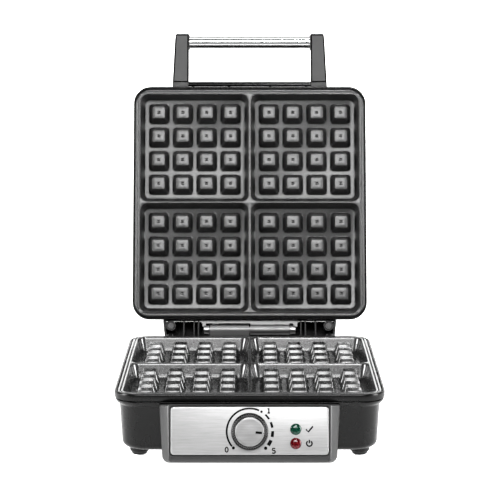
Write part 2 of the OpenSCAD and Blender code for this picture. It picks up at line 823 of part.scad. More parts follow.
// screwed from inside the lid into the foot of the handle
module handle_screws() {
  color(steel) place_lid() for (x = handle_screw_x) translate([x, -114, handle_screw_z]) rotate([-90, 0, 0])
    screw(2.8, 6, 12.5);
}

// ---------------------------------------------------------------- centring

// y of a point of the lid, given shut, once the lid is open
function opened(y, z) = axis_y + (y - axis_y) * cos(open_angle) + (z - axis_z) * sin(open_angle);
front_y = panel_y - (knob_s + knob_d / 2 - 3) * sin(panel_lean) - (knob_gap + knob_h) * cos(panel_lean);
rear_y = opened(bar_y + 2.3, bar_z) + tip_r;
centre_shift = -(front_y + rear_y) / 2;

lower_housing();
lower_rim_frame();
lower_plate();
lower_element();
lower_heat_shield();
lower_element_clamps();
thermal_fuse();
fuse_clip();
terminal_block();
mains_wires();
cord_gland();
cord_clamp();
base_cover();
base_cover_screws();
feet();
foot_pads();
plate_screws();
control_housing();
control_panel();
panel_studs();
ready_lens();
power_lens();
neon_lamps();
lamp_holder();
thermostat_body();
thermostat_bracket();
thermostat_bulb();
panel_wires();
base_hinge_leaf();
base_leaf_screws();
hinge_pin();
pin_nuts();
control_knob();
knob_cap();
knob_pointer();
thermostat_shaft();
shaft_spring();
upper_housing();
upper_rim_frame();
upper_plate();
upper_element();
upper_heat_shield();
upper_element_clamps();
upper_plate_screws();
lid_hinge_leaf();
lid_leaf_screws();
hinge_cover();
hinge_cover_screws();
lid_wires();
handle_frame();
handle_covers();
handle_bar();
handle_screws();
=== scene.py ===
"""Looks of the waffle maker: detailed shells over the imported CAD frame, materials, light and camera."""

import json
from math import cos, pi, radians, sin, sqrt, tau

import bmesh
import bpy
from mathutils import Matrix, Vector


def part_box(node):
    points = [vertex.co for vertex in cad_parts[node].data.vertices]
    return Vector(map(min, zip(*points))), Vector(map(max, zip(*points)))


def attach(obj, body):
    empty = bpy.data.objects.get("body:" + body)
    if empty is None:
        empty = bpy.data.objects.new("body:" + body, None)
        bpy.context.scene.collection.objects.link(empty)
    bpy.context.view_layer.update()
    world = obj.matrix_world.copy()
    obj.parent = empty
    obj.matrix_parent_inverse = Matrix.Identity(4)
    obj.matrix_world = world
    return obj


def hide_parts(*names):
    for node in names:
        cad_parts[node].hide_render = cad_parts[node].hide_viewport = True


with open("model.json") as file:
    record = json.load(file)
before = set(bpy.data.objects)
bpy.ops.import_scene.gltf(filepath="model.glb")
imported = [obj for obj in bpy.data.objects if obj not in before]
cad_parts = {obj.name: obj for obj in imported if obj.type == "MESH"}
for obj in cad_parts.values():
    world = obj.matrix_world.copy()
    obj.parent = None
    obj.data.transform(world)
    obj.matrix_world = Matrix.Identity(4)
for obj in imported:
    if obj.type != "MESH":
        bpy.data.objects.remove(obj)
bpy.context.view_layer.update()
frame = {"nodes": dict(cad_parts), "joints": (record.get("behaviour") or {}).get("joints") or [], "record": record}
MM = 0.001
NODES = frame["nodes"]
JOINTS = {j["name"]: j for j in frame["joints"]}

# ------------------------------------------------------------------ places

PLATE_LO, PLATE_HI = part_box("lower_plate")
RIM_LO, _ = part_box("lower_rim_frame")
HOUSING_LO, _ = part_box("lower_housing")
RIM_RISE = 1.8 * MM                      # rim above the pyramid tips
TIP_Z = PLATE_HI.z - RIM_RISE
MIDDLE = Vector((0, (PLATE_LO.y + PLATE_HI.y) / 2, TIP_Z))
PLATE_HALF = (PLATE_HI.x - PLATE_LO.x) / 2 / MM
HINGE = Vector(JOINTS["lid_hinge"]["pos_m"])
OPEN = radians(JOINTS["lid_hinge"]["range_deg"][1])
KNOB = Vector(JOINTS["knob_turn"]["pos_m"])
OUT = Vector(JOINTS["knob_turn"]["axis"]).normalized()
LID_GAP = 2 * 1.8 + 0.4                  # tips of the shut lid above the lower tips, mm

# frames in millimetres: base (origin between the lower plate's tips), shut lid, turned-over lid, panel
BASE = Matrix.Translation(MIDDLE) @ Matrix.Scale(MM, 4)
LID = Matrix.Translation(HINGE) @ Matrix.Rotation(-OPEN, 4, "X") @ Matrix.Translation(-HINGE) @ BASE
TURNED = LID @ Matrix.Translation((0, 0, LID_GAP)) @ Matrix.Scale(-1, 4, (0, 0, 1))
PANEL_UP = Vector((0, -OUT.z, OUT.y)) * -1
PANEL = Matrix((
    (1, 0, 0, KNOB.x), (0, PANEL_UP.y, OUT.y, KNOB.y), (0, PANEL_UP.z, OUT.z, KNOB.z), (0, 0, 0, 1),
)) @ Matrix.Scale(MM, 4)

BASE_W, LID_W, RIM_L = 245.0, 243.0, 244.6
BASE_R, LID_R = 22.0, 18.0
CAVITY, RIB, DEPTH, PITCH = 112.8, 2.5, 11.5, 25.0
CELL = RIB / 2 + CAVITY / 2
SKIRT = -4.8
BOTTOM = (HOUSING_LO.z - TIP_Z) / MM
LID_TOP = 1.8 - 42.0                     # in the turned-over lid frame
PANEL_TOP = 23.5                         # knob's centre below the panel housing's top edge


# ------------------------------------------------------------------ materials

def new_material(name):
    mat = bpy.data.materials.new(name)
    mat.use_nodes = True
    tree = mat.node_tree
    return mat, tree, tree.nodes["Principled BSDF"]


def add(tree, kind, **values):
    node = tree.nodes.new(kind)
    for key, value in values.items():
        if key in node.inputs:
            node.inputs[key].default_value = value
        else:
            setattr(node, key, value)
    return node


def noise(tree, scale, detail=4.0, stretch=(1, 1, 1), roughness=0.55):
    place = add(tree, "ShaderNodeTexCoord")
    mapping = add(tree, "ShaderNodeMapping")
    mapping.inputs["Scale"].default_value = stretch
    node = add(tree, "ShaderNodeTexNoise", Scale=scale, Detail=detail, Roughness=roughness)
    tree.links.new(place.outputs["Object"], mapping.inputs["Vector"])
    tree.links.new(mapping.outputs["Vector"], node.inputs["Vector"])
    return node.outputs["Fac"]


def spread(tree, fac, low, high, start=0.3, end=0.7):
    node = add(tree, "ShaderNodeMapRange")
    for key, value in (("From Min", start), ("From Max", end), ("To Min", low), ("To Max", high)):
        node.inputs[key].default_value = value
    tree.links.new(fac, node.inputs["Value"])
    return node.outputs["Result"]


def two_tone(tree, fac, dark, light, start=0.35, end=0.65):
    ramp = add(tree, "ShaderNodeValToRGB")
    ramp.color_ramp.elements[0].position = start
    ramp.color_ramp.elements[1].position = end
    ramp.color_ramp.elements[0].color = (*dark, 1)
    ramp.color_ramp.elements[1].color = (*light, 1)
    tree.links.new(fac, ramp.inputs["Fac"])
    return ramp.outputs["Color"]


def bump(tree, shader, heights):
    """Chains bumps: each is (height output, distance in metres, strength)."""
    normal = None
    for height, distance, strength in heights:
        node = add(tree, "ShaderNodeBump", Strength=strength, Distance=distance)
        tree.links.new(height, node.inputs["Height"])
        if normal:
            tree.links.new(normal, node.inputs["Normal"])
        normal = node.outputs["Normal"]
    tree.links.new(normal, shader.inputs["Normal"])


def plastic(name, grey, rough, grain=2600.0, grain_depth=0.00003, tint=(1, 1, 1), spec=0.5):
    """Moulded plastic: fine spark-eroded grain, faint colour drift, roughness that wanders."""
    mat, tree, shader = new_material(name)
    drift = noise(tree, 22.0, 3.0)
    dark = [grey * c * 0.9 for c in tint]
    light = [grey * c * 1.1 for c in tint]
    tree.links.new(two_tone(tree, drift, dark, light), shader.inputs["Base Color"])
    wander = noise(tree, 90.0, 5.0)
    tree.links.new(spread(tree, wander, rough * 0.95, rough * 1.05), shader.inputs["Roughness"])
    bump(tree, shader, [(noise(tree, grain, 2.0), grain_depth, 0.35), (drift, 0.0004, 0.008)])
    shader.inputs["Specular IOR Level"].default_value = spec
    return mat


def metal(name, grey, rough, stretch=(1, 1, 1), grain=900.0, depth=0.00004, strength=0.3,
          drift_by=0.06, waves=0.05):
    """Metal with grain stretched along one axis, or even grain when stretch is all ones."""
    mat, tree, shader = new_material(name)
    grain_fac = noise(tree, grain, 3.0, stretch, 0.7)
    drift = noise(tree, 30.0, 3.0)
    dark = (grey * (1 - drift_by),) * 3
    light = (grey * (1 + drift_by),) * 3
    tree.links.new(two_tone(tree, grain_fac, dark, light), shader.inputs["Base Color"])
    polish = spread(tree, grain_fac, rough * (1 - drift_by), rough * (1 + drift_by))
    tree.links.new(polish, shader.inputs["Roughness"])
    shader.inputs["Metallic"].default_value = 1.0
    bump(tree, shader, [(grain_fac, depth, strength), (drift, 0.0003, waves)])
    return mat


def coated(name, low, high, metallic=0.6, rough=0.37, sparkle=0.8):
    """Non-stick coating on cast aluminium: sprayed speckle, orange peel and a satin shine."""
    mat, tree, shader = new_material(name)
    speck = noise(tree, 1500.0, 2.0, roughness=0.8)
    tree.links.new(two_tone(tree, speck, (low,) * 3, (high,) * 3, 0.3, 0.72), shader.inputs["Base Color"])
    peel = noise(tree, 420.0, 3.0)
    tree.links.new(spread(tree, peel, rough - 0.05, rough + 0.05), shader.inputs["Roughness"])
    shader.inputs["Metallic"].default_value = metallic
    shader.inputs["Coat Weight"].default_value = 0.25
    shader.inputs["Coat Roughness"].default_value = 0.2
    bump(tree, shader, [(peel, 0.00008, sparkle * 0.4), (speck, 0.00008, sparkle)])
    return mat


def lens_material(name, colour):
    """Clear tinted lens with moulded prisms inside; each prism cell is painted lighter at its centre and darker at
    its edge as painted glints.
    """
    mat, tree, shader = new_material(name)
    cells = add(tree, "ShaderNodeTexVoronoi", Scale=900.0)
    place = add(tree, "ShaderNodeTexCoord")
    tree.links.new(place.outputs["Object"], cells.inputs["Vector"])
    # painted glints: prism cell centres take a lighter tint, cell edges a darker one
    dark = [c * 0.55 for c in colour]
    light = [min(1.0, c * 1.7 + 0.01) for c in colour]
    tree.links.new(two_tone(tree, cells.outputs["Distance"], light, dark, 0.1, 0.6), shader.inputs["Base Color"])
    tree.links.new(spread(tree, noise(tree, 600.0), 0.08, 0.16), shader.inputs["Roughness"])
    shader.inputs["Specular IOR Level"].default_value = 0.3
    bump(tree, shader, [(cells.outputs["Distance"], 0.0001, 0.25)])
    return mat


MATS = {
    "casing_dark": plastic("casing_dark", 0.002, 0.27, grain=1400.0, grain_depth=0.00002, spec=0.2),
    "base_plastic": plastic("base_plastic", 0.004, 0.42, spec=0.2),
    "handle_plastic": plastic("handle_plastic", 0.027, 0.45, spec=0.25),
    # matte near-black used only for painted shade round the handle's arm covers and along its foot's seam
    "shadow_gap": plastic("shadow_gap", 0.001, 0.9, spec=0.0),
    "control_plastic": plastic("control_plastic", 0.017, 0.33, grain=1800.0, spec=0.4),
    "knob_plastic": plastic("knob_plastic", 0.004, 0.3, spec=0.25),
    "pointer_ink": plastic("pointer_ink", 0.002, 0.6, spec=0.05),
    "coated_plate": coated("coated_plate", 0.018, 0.045),
    # the plate coating again for the lower plate: base colour lighter than the upper plate's as painted light, also
    # smoother and with a finer speckle bump
    "coated_lower": coated("coated_lower", 0.04, 0.075, 0.65, 0.23, 0.12),
    "element_steel": metal("element_steel", 0.42, 0.32, (1, 60, 60)),
    "zinc_sheet": metal("zinc_sheet", 0.5, 0.38),
    "screw_steel": metal("screw_steel", 0.4, 0.35),
    "panel_steel": metal("panel_steel", 0.255, 0.44, (0.03, 1, 1), 1500.0, 0.00001, 0.05, drift_by=0.1, waves=0.0),
    "cap_steel": metal("cap_steel", 0.22, 0.34, (0.02, 1, 1), 1500.0, 0.00003, 0.3, drift_by=0.08),
    "grip_steel": metal("grip_steel", 0.47, 0.13, (0.02, 1, 1), 1500.0, 0.00002, 0.15),
    "barrel_steel": metal("barrel_steel", 0.15, 0.45, (0.05, 1, 1), 1200.0, 0.00003, 0.25),
    "nut_steel": metal("nut_steel", 0.2, 0.3),
    "dark_screw": metal("dark_screw", 0.05, 0.4),
    "green_lens": lens_material("green_lens", (0.001, 0.03, 0.017)),
    "red_lens": lens_material("red_lens", (0.065, 0.001, 0.003)),
    "lamp_glass": plastic("lamp_glass", 0.7, 0.1, tint=(1, 0.85, 0.7)),
    "ceramic": plastic("ceramic", 0.66, 0.3, tint=(1, 0.98, 0.92)),
    "copper": metal("copper", 0.45, 0.35),
    "wire_sleeve": plastic("wire_sleeve", 0.55, 0.7, grain=3500.0, grain_depth=0.0002, tint=(1, 0.95, 0.75)),
    "pad_rubber": plastic("pad_rubber", 0.7, 0.6),
}

# every CAD node takes the material of its slot in the record
for part in frame["record"]["subparts"]:
    node = NODES[part["node"]]
    node.data.materials.clear()
    node.data.materials.append(MATS[part["material_slot"]])
# metal parts in plain view that look different from their slot's usual steel
OTHER_LOOKS = {
    "base_hinge_leaf": "barrel_steel", "lid_hinge_leaf": "barrel_steel", "hinge_pin": "barrel_steel",
    "pin_nuts": "nut_steel", "hinge_cover_screws": "dark_screw",
}
for name, look in OTHER_LOOKS.items():
    NODES[name].data.materials[0] = MATS[look]


# ------------------------------------------------------------------ mesh helpers

def make(name, verts, faces, place, body, slot, material, stands_for=(), smooth=True, angle=35):
    """A mesh given in millimetres of one of the frames, carried into the row frame."""
    mesh = bpy.data.meshes.new(name)
    mesh.from_pydata([place @ Vector(v) for v in verts], [], faces)
    mesh.update()
    obj = bpy.data.objects.new(name, mesh)
    bpy.context.scene.collection.objects.link(obj)
    fix_normals(mesh)
    mesh.materials.append(MATS[material])
    if smooth:
        mesh.shade_smooth()
        mesh.set_sharp_from_angle(angle=radians(angle))
    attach(obj, body)
    if stands_for:
        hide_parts(*stands_for)
    return obj


def fix_normals(mesh):
    work = bmesh.new()
    work.from_mesh(mesh)
    bmesh.ops.remove_doubles(work, verts=work.verts, dist=1e-7)
    bmesh.ops.recalc_face_normals(work, faces=work.faces)
    work.to_mesh(mesh)
    work.free()


def rounded_ring(w, l, r, z, n=12, at=(0, 0)):
    """Points of a rounded rectangle, anticlockwise, with n steps in each corner."""
    points = []
    for k in range(4):
        a0 = k * pi / 2
        cx = (w / 2 - r) * (1 if k in (0, 3) else -1)
        cy = (l / 2 - r) * (1 if k in (0, 1) else -1)
        for i in range(n + 1):
            a = a0 + pi / 2 * i / n
            points.append((at[0] + cx + r * cos(a), at[1] + cy + r * sin(a), z))
    return points


def circle_ring(r, z, n=64):
    return [(r * cos(tau * i / n), r * sin(tau * i / n), z) for i in range(n)]


def loft(rings, first_cap=False, last_cap=False, closed=False):
    """Vertices and faces of a skin over rings that all have the same number of points."""
    n = len(rings[0])
    verts = [p for ring in rings for p in ring]
    faces = []
    count = len(rings)
    for j in range(count if closed else count - 1):
        a, b = j * n, (j + 1) % count * n
        faces += [(a + i, a + (i + 1) % n, b + (i + 1) % n, b + i) for i in range(n)]
    if first_cap:
        faces.append(tuple(reversed(range(n))))
    if last_cap:
        faces.append(tuple(range((count - 1) * n, count * n)))
    return verts, faces


def merge(parts):
    """Joins several (verts, faces) pairs into one."""
    verts, faces = [], []
    for v, f in parts:
        k = len(verts)
        verts += v
        faces += [tuple(i + k for i in face) for face in f]
    return verts, faces


# ------------------------------------------------------------------ waffle plates

def pyramid_rings(x, y):
    """A hollow-looking pyramid of a waffle pocket: flared foot, sloping sides, soft tip with a dimple."""
    rings = []
    foot, tip = 20.3, 12.4
    slope = (foot - tip) / 2 / DEPTH
    for out, z in ((0.9, 0.0), (0.4, 0.1), (0.1, 0.35), (0.0, 0.8)):
        w = foot + 2 * (out - slope * z)
        rings.append(rounded_ring(w, w, 3.4, z - DEPTH, 4, (x, y)))
    for z in (1.1, DEPTH - 0.9):
        w = foot - 2 * slope * z
        rings.append(rounded_ring(w, w, 3.4 - 1.7 * z / DEPTH, z - DEPTH, 4, (x, y)))
    top = tip + 2 * slope * 0.5
    rings.append(rounded_ring(top, top, 1.7, -0.5, 4, (x, y)))
    for k in range(1, 4):
        a = pi / 2 * k / 3
        half = top / 2 - 0.5 * (1 - cos(a))
        rings.append(rounded_ring(2 * half, 2 * half, 1.7 - 0.3 * (1 - cos(a)), -0.5 + 0.5 * sin(a), 4, (x, y)))
    flat = rings[-1]
    for r, z in ((2.3, 0.0), (1.75, -0.05), (1.5, -0.25), (1.1, -0.75), (0.55, -1.1), (0.02, -1.2)):
        ring = []
        for p in flat:
            d = sqrt((p[0] - x) ** 2 + (p[1] - y) ** 2)
            ring.append((x + (p[0] - x) / d * r, y + (p[1] - y) / d * r, z))
        rings.append(ring)
    return loft(rings, last_cap=True)


def cavity_rings(x, y):
    """Walls of one waffle's cavity from the rim down to the filleted floor."""
    size, r = CAVITY, 8.0
    rings = [
        rounded_ring(size + 1.8, size + 1.8, r + 0.9, RIM_RISE / MM, 12, (x, y)),
        rounded_ring(size + 1.0, size + 1.0, r + 0.5, RIM_RISE / MM - 0.12, 12, (x, y)),
        rounded_ring(size + 0.3, size + 0.3, r + 0.15, RIM_RISE / MM - 0.5, 12, (x, y)),
        rounded_ring(size - 0.3, size - 0.3, r, RIM_RISE / MM - 1.1, 12, (x, y)),
    ]
    low = size - 9 + 2.0
    for t in (0.08, 0.92):
        w = (size - 0.3) * (1 - t) + (low + 0.9) * t
        z = (RIM_RISE / MM - 1.1) * (1 - t) + (1.9 - DEPTH) * t
        rings.append(rounded_ring(w, w, 8.0 - 2.0 * t, z, 12, (x, y)))
    rings.append(rounded_ring(low + 0.9, low + 0.9, 6.0, -DEPTH + 1.9, 12, (x, y)))
    for k in range(5):
        a = pi / 2 * k / 4
        w = low - 1.8 * (1 - cos(a))
        rings.append(rounded_ring(w, w, 5.6, -DEPTH + 1.5 * (1 - sin(a)), 12, (x, y)))
    return rings


def plate_mesh():
    rim = RIM_RISE / MM
    parts = []
    for sx in (-1, 1):
        for sy in (-1, 1):
            cx, cy = sx * CELL, sy * CELL
            parts.append(loft(cavity_rings(cx, cy), last_cap=True))
            for i in range(4):
                for j in range(4):
                    parts.append(pyramid_rings(cx + (i - 1.5) * PITCH, cy + (j - 1.5) * PITCH))
    # the rim all round: ridge beside the waffles, drip groove, flange and its turned edge
    inner = CAVITY * 2 + RIB + 0.6
    size = 2 * PLATE_HALF
    profile = [
        (inner, 8.4, rim + 0.02), (inner + 1.6, 9.2, rim + 0.02), (inner + 2.3, 9.6, rim - 0.15),
        (inner + 2.8, 9.8, rim - 1.3), (inner + 4.1, 10.4, rim - 1.3), (inner + 4.5, 10.6, rim - 0.2),
        (inner + 5.2, 11.0, rim - 0.02), (size - 2.4, 15.0, rim - 0.02), (size - 1.1, 15.5, rim - 0.35),
        (size - 0.3, 15.9, rim - 1.1), (size, 16.0, rim - 1.8), (size, 16.0, rim - 2.4),
    ]
    parts.append(loft([rounded_ring(w, w, r, z, 12) for w, r, z in profile]))
    parts += rib_tops(inner, rim)
    # underside pan and its cut-outs are out of sight, so one plain skin closes it
    under = [(size, 16.0, rim - 2.4), (inner + 4.4, 11.0, rim - 2.5), (2 * CAVITY - 2, 10.0, -DEPTH - 2.6)]
    parts.append(loft([rounded_ring(w, w, r, z, 12) for w, r, z in under], last_cap=True))
    return merge(parts)


def rib_tops(inner, rim):
    """Flat tops between the four cavities and the webs where their rounded corners meet the rim."""
    size, r = CAVITY + 1.8, 8.9
    holes = []
    for sx in (-1, 1):
        for sy in (-1, 1):
            ring = rounded_ring(size, size, r, rim, 12, (sx * CELL, sy * CELL))
            holes.append(ring)
    # each quarter: a skin from the quarter's square outline to the cavity's rounded edge
    parts = []
    half = inner / 2
    for k, ring in enumerate(holes):
        sx = -1 if k < 2 else 1
        sy = -1 if k % 2 == 0 else 1
        cx, cy = sx * CELL, sy * CELL
        square = []
        for p in ring:
            dx, dy = p[0] - cx, p[1] - cy
            m = max(abs(dx), abs(dy))
            t = size / 2 / m
            x, y = cx + dx * t, cy + dy * t
            x = min(max(x, -half), half)
            y = min(max(y, -half), half)
            x = 0.0 if abs(x) < RIB else x
            y = 0.0 if abs(y) < RIB else y
            square.append((x, y, rim))
        parts.append(loft([square, ring]))
    return parts


PLATE = plate_mesh()
# the lower plate wears the lighter copy of the coating, which is painted light; the upper plate wears the plain
# coating
make("lower_plate_cast", *PLATE, BASE, "base", "coated_plate", "coated_lower", ["lower_plate"], angle=50)
make("upper_plate_cast", *PLATE, TURNED, "lid", "coated_plate", "coated_plate", ["upper_plate"], angle=50)


# ------------------------------------------------------------------ casings and rims

def rim_profile(w, l, r):
    """Closed section of a rim frame: seat for the plate, soft outer edge, skirt."""
    z1 = RIM_RISE / MM
    seat = 2 * PLATE_HALF + 0.5
    return [
        (seat - 6, seat - 6, 13.0, SKIRT), (seat - 6, seat - 6, 13.0, z1 - 2.9), (seat, seat, 16.2, z1 - 2.9),
        (seat, seat, 16.2, z1 - 1.3), (seat + 0.6, seat + 0.6, 16.5, z1 - 0.4), (seat + 1.6, seat + 1.6, 17.0, z1),
        (w - 2.2, l - 2.2, r - 1.1, z1),
        (w - 1.0, l - 1.0, r - 0.5, z1 - 0.22), (w - 0.3, l - 0.3, r - 0.15, z1 - 0.75), (w, l, r, z1 - 1.5),
        (w, l, r, SKIRT + 0.7), (w - 0.5, l - 0.5, r - 0.2, SKIRT + 0.15), (w - 1.4, l - 1.4, r - 0.6, SKIRT),
    ]


def rim(w, l, r):
    rings = [rounded_ring(a, b, c, z, 16) for a, b, c, z in rim_profile(w, l, r)]
    return loft(rings, closed=True)


def casing(w, l, r, low, foot, opening=False):
    """Outer skin of a casing: shadow line, rolled lip, drafted wall, rounded foot and the cover's seat below."""
    prof = [(2.6, SKIRT + 0.1, 1.0), (2.6, SKIRT - 0.5, 1.0), (1.1, SKIRT - 0.9, 0.6), (0.8, SKIRT - 1.4, 0.4)]
    prof += [(1.3, -7.6, 0.7), (2.4, -9.3, 1.2), (4.0, -10.6, 2.0), (4.5, -11.6, 2.3)]
    wall_z = low + foot
    prof += [(6.4, wall_z, 3.0)]
    for k in range(1, 9):
        a = pi / 2 * k / 8
        prof.append((6.4 + foot * 0.95 * (1 - cos(a)), wall_z - foot * sin(a), 3.0 + foot * 0.25 * (1 - cos(a))))
    rings = [rounded_ring(w - 2 * i, l - 2 * i, r - d, z, 16) for i, z, d in prof]
    if opening:
        seat = (
            (190.8, 150.8, 8.4, 0.0), (190.0, 150.0, 8.0, 0.4), (190.0, 150.0, 8.0, 2.4),
            (197.0, 157.0, 9.5, 2.5), (197.0, 157.0, 9.5, 5.8),
        )
        rings += [rounded_ring(a, b, c, low + up, 16) for a, b, c, up in seat]
    return loft(rings, last_cap=True), rings


def with_hollow(skin, rings, depth):
    """Adds a simple inside to a casing so that it is a shell and not an open skin."""
    inside = [[(p[0] * 0.97, p[1] * 0.97, rings[0][0][2]) for p in rings[0]],
              [(p[0] * 0.93, p[1] * 0.93, depth) for p in rings[0]]]
    return merge([skin, loft([rings[0]] + inside, last_cap=True)])


def soft_block(x0, x1, y0, y1, z0, z1, r=1.2):
    """A block with rounded corners and softened long edges, its sections taken along y."""
    rings = []
    for inset, y in ((0.0, y0), (0.0, y1 - 0.8), (0.25, y1 - 0.25), (0.8, y1)):
        ring = rounded_ring(x1 - x0 - 2 * inset, z1 - z0 - 2 * inset, r, 0, 6, ((x0 + x1) / 2, (z0 + z1) / 2))
        rings.append([(px, y, pz) for px, pz, _ in ring])
    return loft(rings, first_cap=True, last_cap=True)


def rear_lug(x):
    """Small round-ended lug behind the rim, under the hinge cover's screw boss."""
    cy, r = RIM_L / 2 + 4.8, 4.5
    rings = []
    for inset, z in ((0.7, -4.6), (0.2, -4.4), (0.0, -3.9), (0.0, 2.0), (0.2, 2.6), (0.7, 2.8)):
        rings.append([(px + x, py + cy, z) for px, py, _ in circle_ring(r - inset, 0, 40)])
    web = soft_block(x - 2, x + 2, RIM_L / 2 - 0.5, RIM_L / 2 + 1.6, -4.6, 0.4, 0.5)
    return merge([loft(rings, first_cap=True, last_cap=True), web])


BOSS_X = 82.0
lower_rim = merge([rim(BASE_W, RIM_L, BASE_R), rear_lug(-BOSS_X), rear_lug(BOSS_X)])
make("lower_rim", *lower_rim, BASE, "base", "casing_dark", "casing_dark", ["lower_rim_frame"])
make("upper_rim", *rim(LID_W, RIM_L, LID_R), TURNED, "lid", "casing_dark", "casing_dark", ["upper_rim_frame"])

skin, rings = casing(BASE_W, RIM_L, BASE_R, BOTTOM, 7.0, opening=True)
step = soft_block(-52, 52, 108, 127, -40, -13)
shell = merge([with_hollow(skin, rings, BOTTOM + 6), step])
make("lower_shell", *shell, BASE, "base", "casing_dark", "casing_dark", ["lower_housing"])
skin, rings = casing(LID_W, RIM_L, LID_R, LID_TOP, 13.0)
step = soft_block(-90, 90, 113, RIM_L / 2, SKIRT - 28, SKIRT - 0.5)
shell = merge([with_hollow(skin, rings, LID_TOP + 6), step])
make("upper_shell", *shell, TURNED, "lid", "casing_dark", "casing_dark", ["upper_housing"])


# ------------------------------------------------------------------ control housing

PANEL_W, PANEL_H = 140.8, 43.2
MID = PANEL_TOP - 22.9                   # middle of the panel above the knob's centre


def panel_ring(w, l, r, out, n=8):
    return rounded_ring(w, l, r, out, n, (0, MID))


def shield_ring(top_w, foot_w, top, foot, r_top, r_foot, out, n=8):
    """Ring with sides that lean in towards the foot; top and foot are distances down the lean."""
    points = []
    corners = (
        (top_w / 2, top, r_top), (-top_w / 2, top, r_top), (-foot_w / 2, foot, r_foot), (foot_w / 2, foot, r_foot),
    )
    for k, (half, s, r) in enumerate(corners):
        a0 = k * pi / 2
        cx = half - r * (1 if half > 0 else -1)
        cy = PANEL_TOP - s - r * (1 if k < 2 else -1)
        for i in range(n + 1):
            a = a0 + pi / 2 * i / n
            points.append((cx + r * cos(a), cy + r * sin(a), out))
    return points


def control_shell():
    """Bevelled wedge: a flat frame round the sunk panel, broad side bevels, sides that run back to the casing."""
    w, h = PANEL_W, PANEL_H
    rings = [
        panel_ring(w + 0.9, h + 0.9, 3.2, -2.6), panel_ring(w + 0.9, h + 0.9, 3.3, -0.5),
        panel_ring(w + 1.5, h + 1.5, 3.6, -0.05),
        shield_ring(144.6, 143.6, -0.1, 49.9, 1.6, 2.6, 0.0), shield_ring(145.4, 144.2, -0.3, 50.3, 1.8, 3.0, -0.2),
        shield_ring(146.4, 145.0, -0.45, 50.6, 2.0, 3.2, -0.7),
        shield_ring(160.0, 154.6, -0.75, 51.3, 2.4, 6.0, -6.0),
        shield_ring(161.2, 155.6, -0.8, 51.5, 2.4, 6.4, -6.8),
        shield_ring(161.8, 156.0, -0.8, 51.5, 2.4, 6.6, -8.0),
        shield_ring(161.8, 156.0, -0.6, 51.0, 2.4, 6.6, -12.0),
    ]
    back_y = RIM_LO.y + 6 * MM
    verts, faces = loft(rings)
    # the last ring is carried straight back, level with the table, until it is inside the casing
    n = len(rings[0])
    inverse = PANEL.inverted()
    last = []
    for v in verts[-n:]:
        w = PANEL @ Vector(v)
        w.y = back_y
        last.append(tuple(inverse @ w))
    base = len(verts) - n
    k = len(verts)
    verts += last
    faces += [(base + i, base + (i + 1) % n, k + (i + 1) % n, k + i) for i in range(n)]
    faces.append(tuple(range(k, k + n)))
    faces.append(tuple(reversed(range(n))))
    return verts, faces


make("control_shell", *control_shell(), PANEL, "base", "casing_dark", "control_plastic", ["control_housing"],
     angle=28)


def control_panel():
    """Brushed plate with a soft rolled edge."""
    w, h, r = PANEL_W - 0.6, PANEL_H - 0.6, 3.0
    rings = [panel_ring(w, h, r, -1.5), panel_ring(w, h, r, -0.35)]
    for k in range(1, 5):
        a = pi / 2 * k / 4
        inset = 1 - cos(a)
        rings.append(panel_ring(w - 1.1 * inset, h - 1.1 * inset, r - 0.4 * inset, -0.35 + 0.55 * sin(a)))
    return loft(rings, last_cap=True)


make("panel_plate", *control_panel(), PANEL, "base", "panel_steel", "panel_steel", ["control_panel"], angle=60)


# ------------------------------------------------------------------ printing on the panel

PRINT_OUT = 0.24
INK = 0.2                                # how far the printed solids reach down into the steel


def strip(points, widths, out=PRINT_OUT):
    """A thin solid band along points in the panel plane, with a width at each point."""
    verts, faces = [], []
    for i, p in enumerate(points):
        a = points[max(i - 1, 0)]
        b = points[min(i + 1, len(points) - 1)]
        d = Vector((b[0] - a[0], b[1] - a[1], 0)).normalized()
        s = Vector((-d.y, d.x, 0)) * widths[i] / 2
        left, right = (p[0] + s.x, p[1] + s.y), (p[0] - s.x, p[1] - s.y)
        verts += [(*left, out), (*right, out), (*right, out - INK), (*left, out - INK)]
        if i:
            a, b = 4 * i - 4, 4 * i
            faces += [(a + k, a + (k + 1) % 4, b + (k + 1) % 4, b + k) for k in range(4)]
    last = 4 * len(points) - 4
    faces += [(3, 2, 1, 0), (last, last + 1, last + 2, last + 3)]
    return verts, faces


def on_scale(angle, r):
    return (r * cos(radians(angle)), r * sin(radians(angle)))


def scale_band(a0, a1, r, w0, w1, n=24):
    points = [on_scale(a0 + (a1 - a0) * i / n, r) for i in range(n + 1)]
    return strip(points, [w0 + (w1 - w0) * i / n for i in range(n + 1)])


def dot(x, y, r):
    levels = (PRINT_OUT - INK, PRINT_OUT)
    rings = [[(px + x, py + y, z) for px, py, z in circle_ring(r, level, 20)] for level in levels]
    return loft(rings, first_cap=True, last_cap=True)


def segments(x, y, strokes, size, weight):
    """Strokes of a generic figure, each a list of points in a unit box."""
    return [strip([(x + u * size, y + v * size) for u, v in stroke], [weight] * len(stroke)) for stroke in strokes]


def oval(rx, ry, n=20, cx=0.0, cy=0.0, a0=0.0, a1=360.0):
    return [(cx + rx * cos(radians(a0 + (a1 - a0) * i / n)), cy + ry * sin(radians(a0 + (a1 - a0) * i / n)))
            for i in range(n + 1)]


ZERO = [oval(0.3, 0.5)]
ONE = [[(-0.22, 0.28), (0.05, 0.5), (0.05, -0.5)], [(-0.2, -0.5), (0.3, -0.5)]]
FIVE = [[(0.28, 0.5), (-0.24, 0.5), (-0.28, 0.05)], [(-0.28, 0.05), *oval(0.32, 0.3, 14, -0.04, -0.2, 110, -150)]]
POWER_SIGN = [oval(0.42, 0.42, 22, 0, 0, 125, 415), [(0, 0.55), (0, 0.05)]]
READY_SIGN = [[(-0.5, 0.0), (-0.15, -0.4), (0.55, 0.45)]]
LAMP_X, READY_Y, POWER_Y = 40.9, 2.0, -10.5


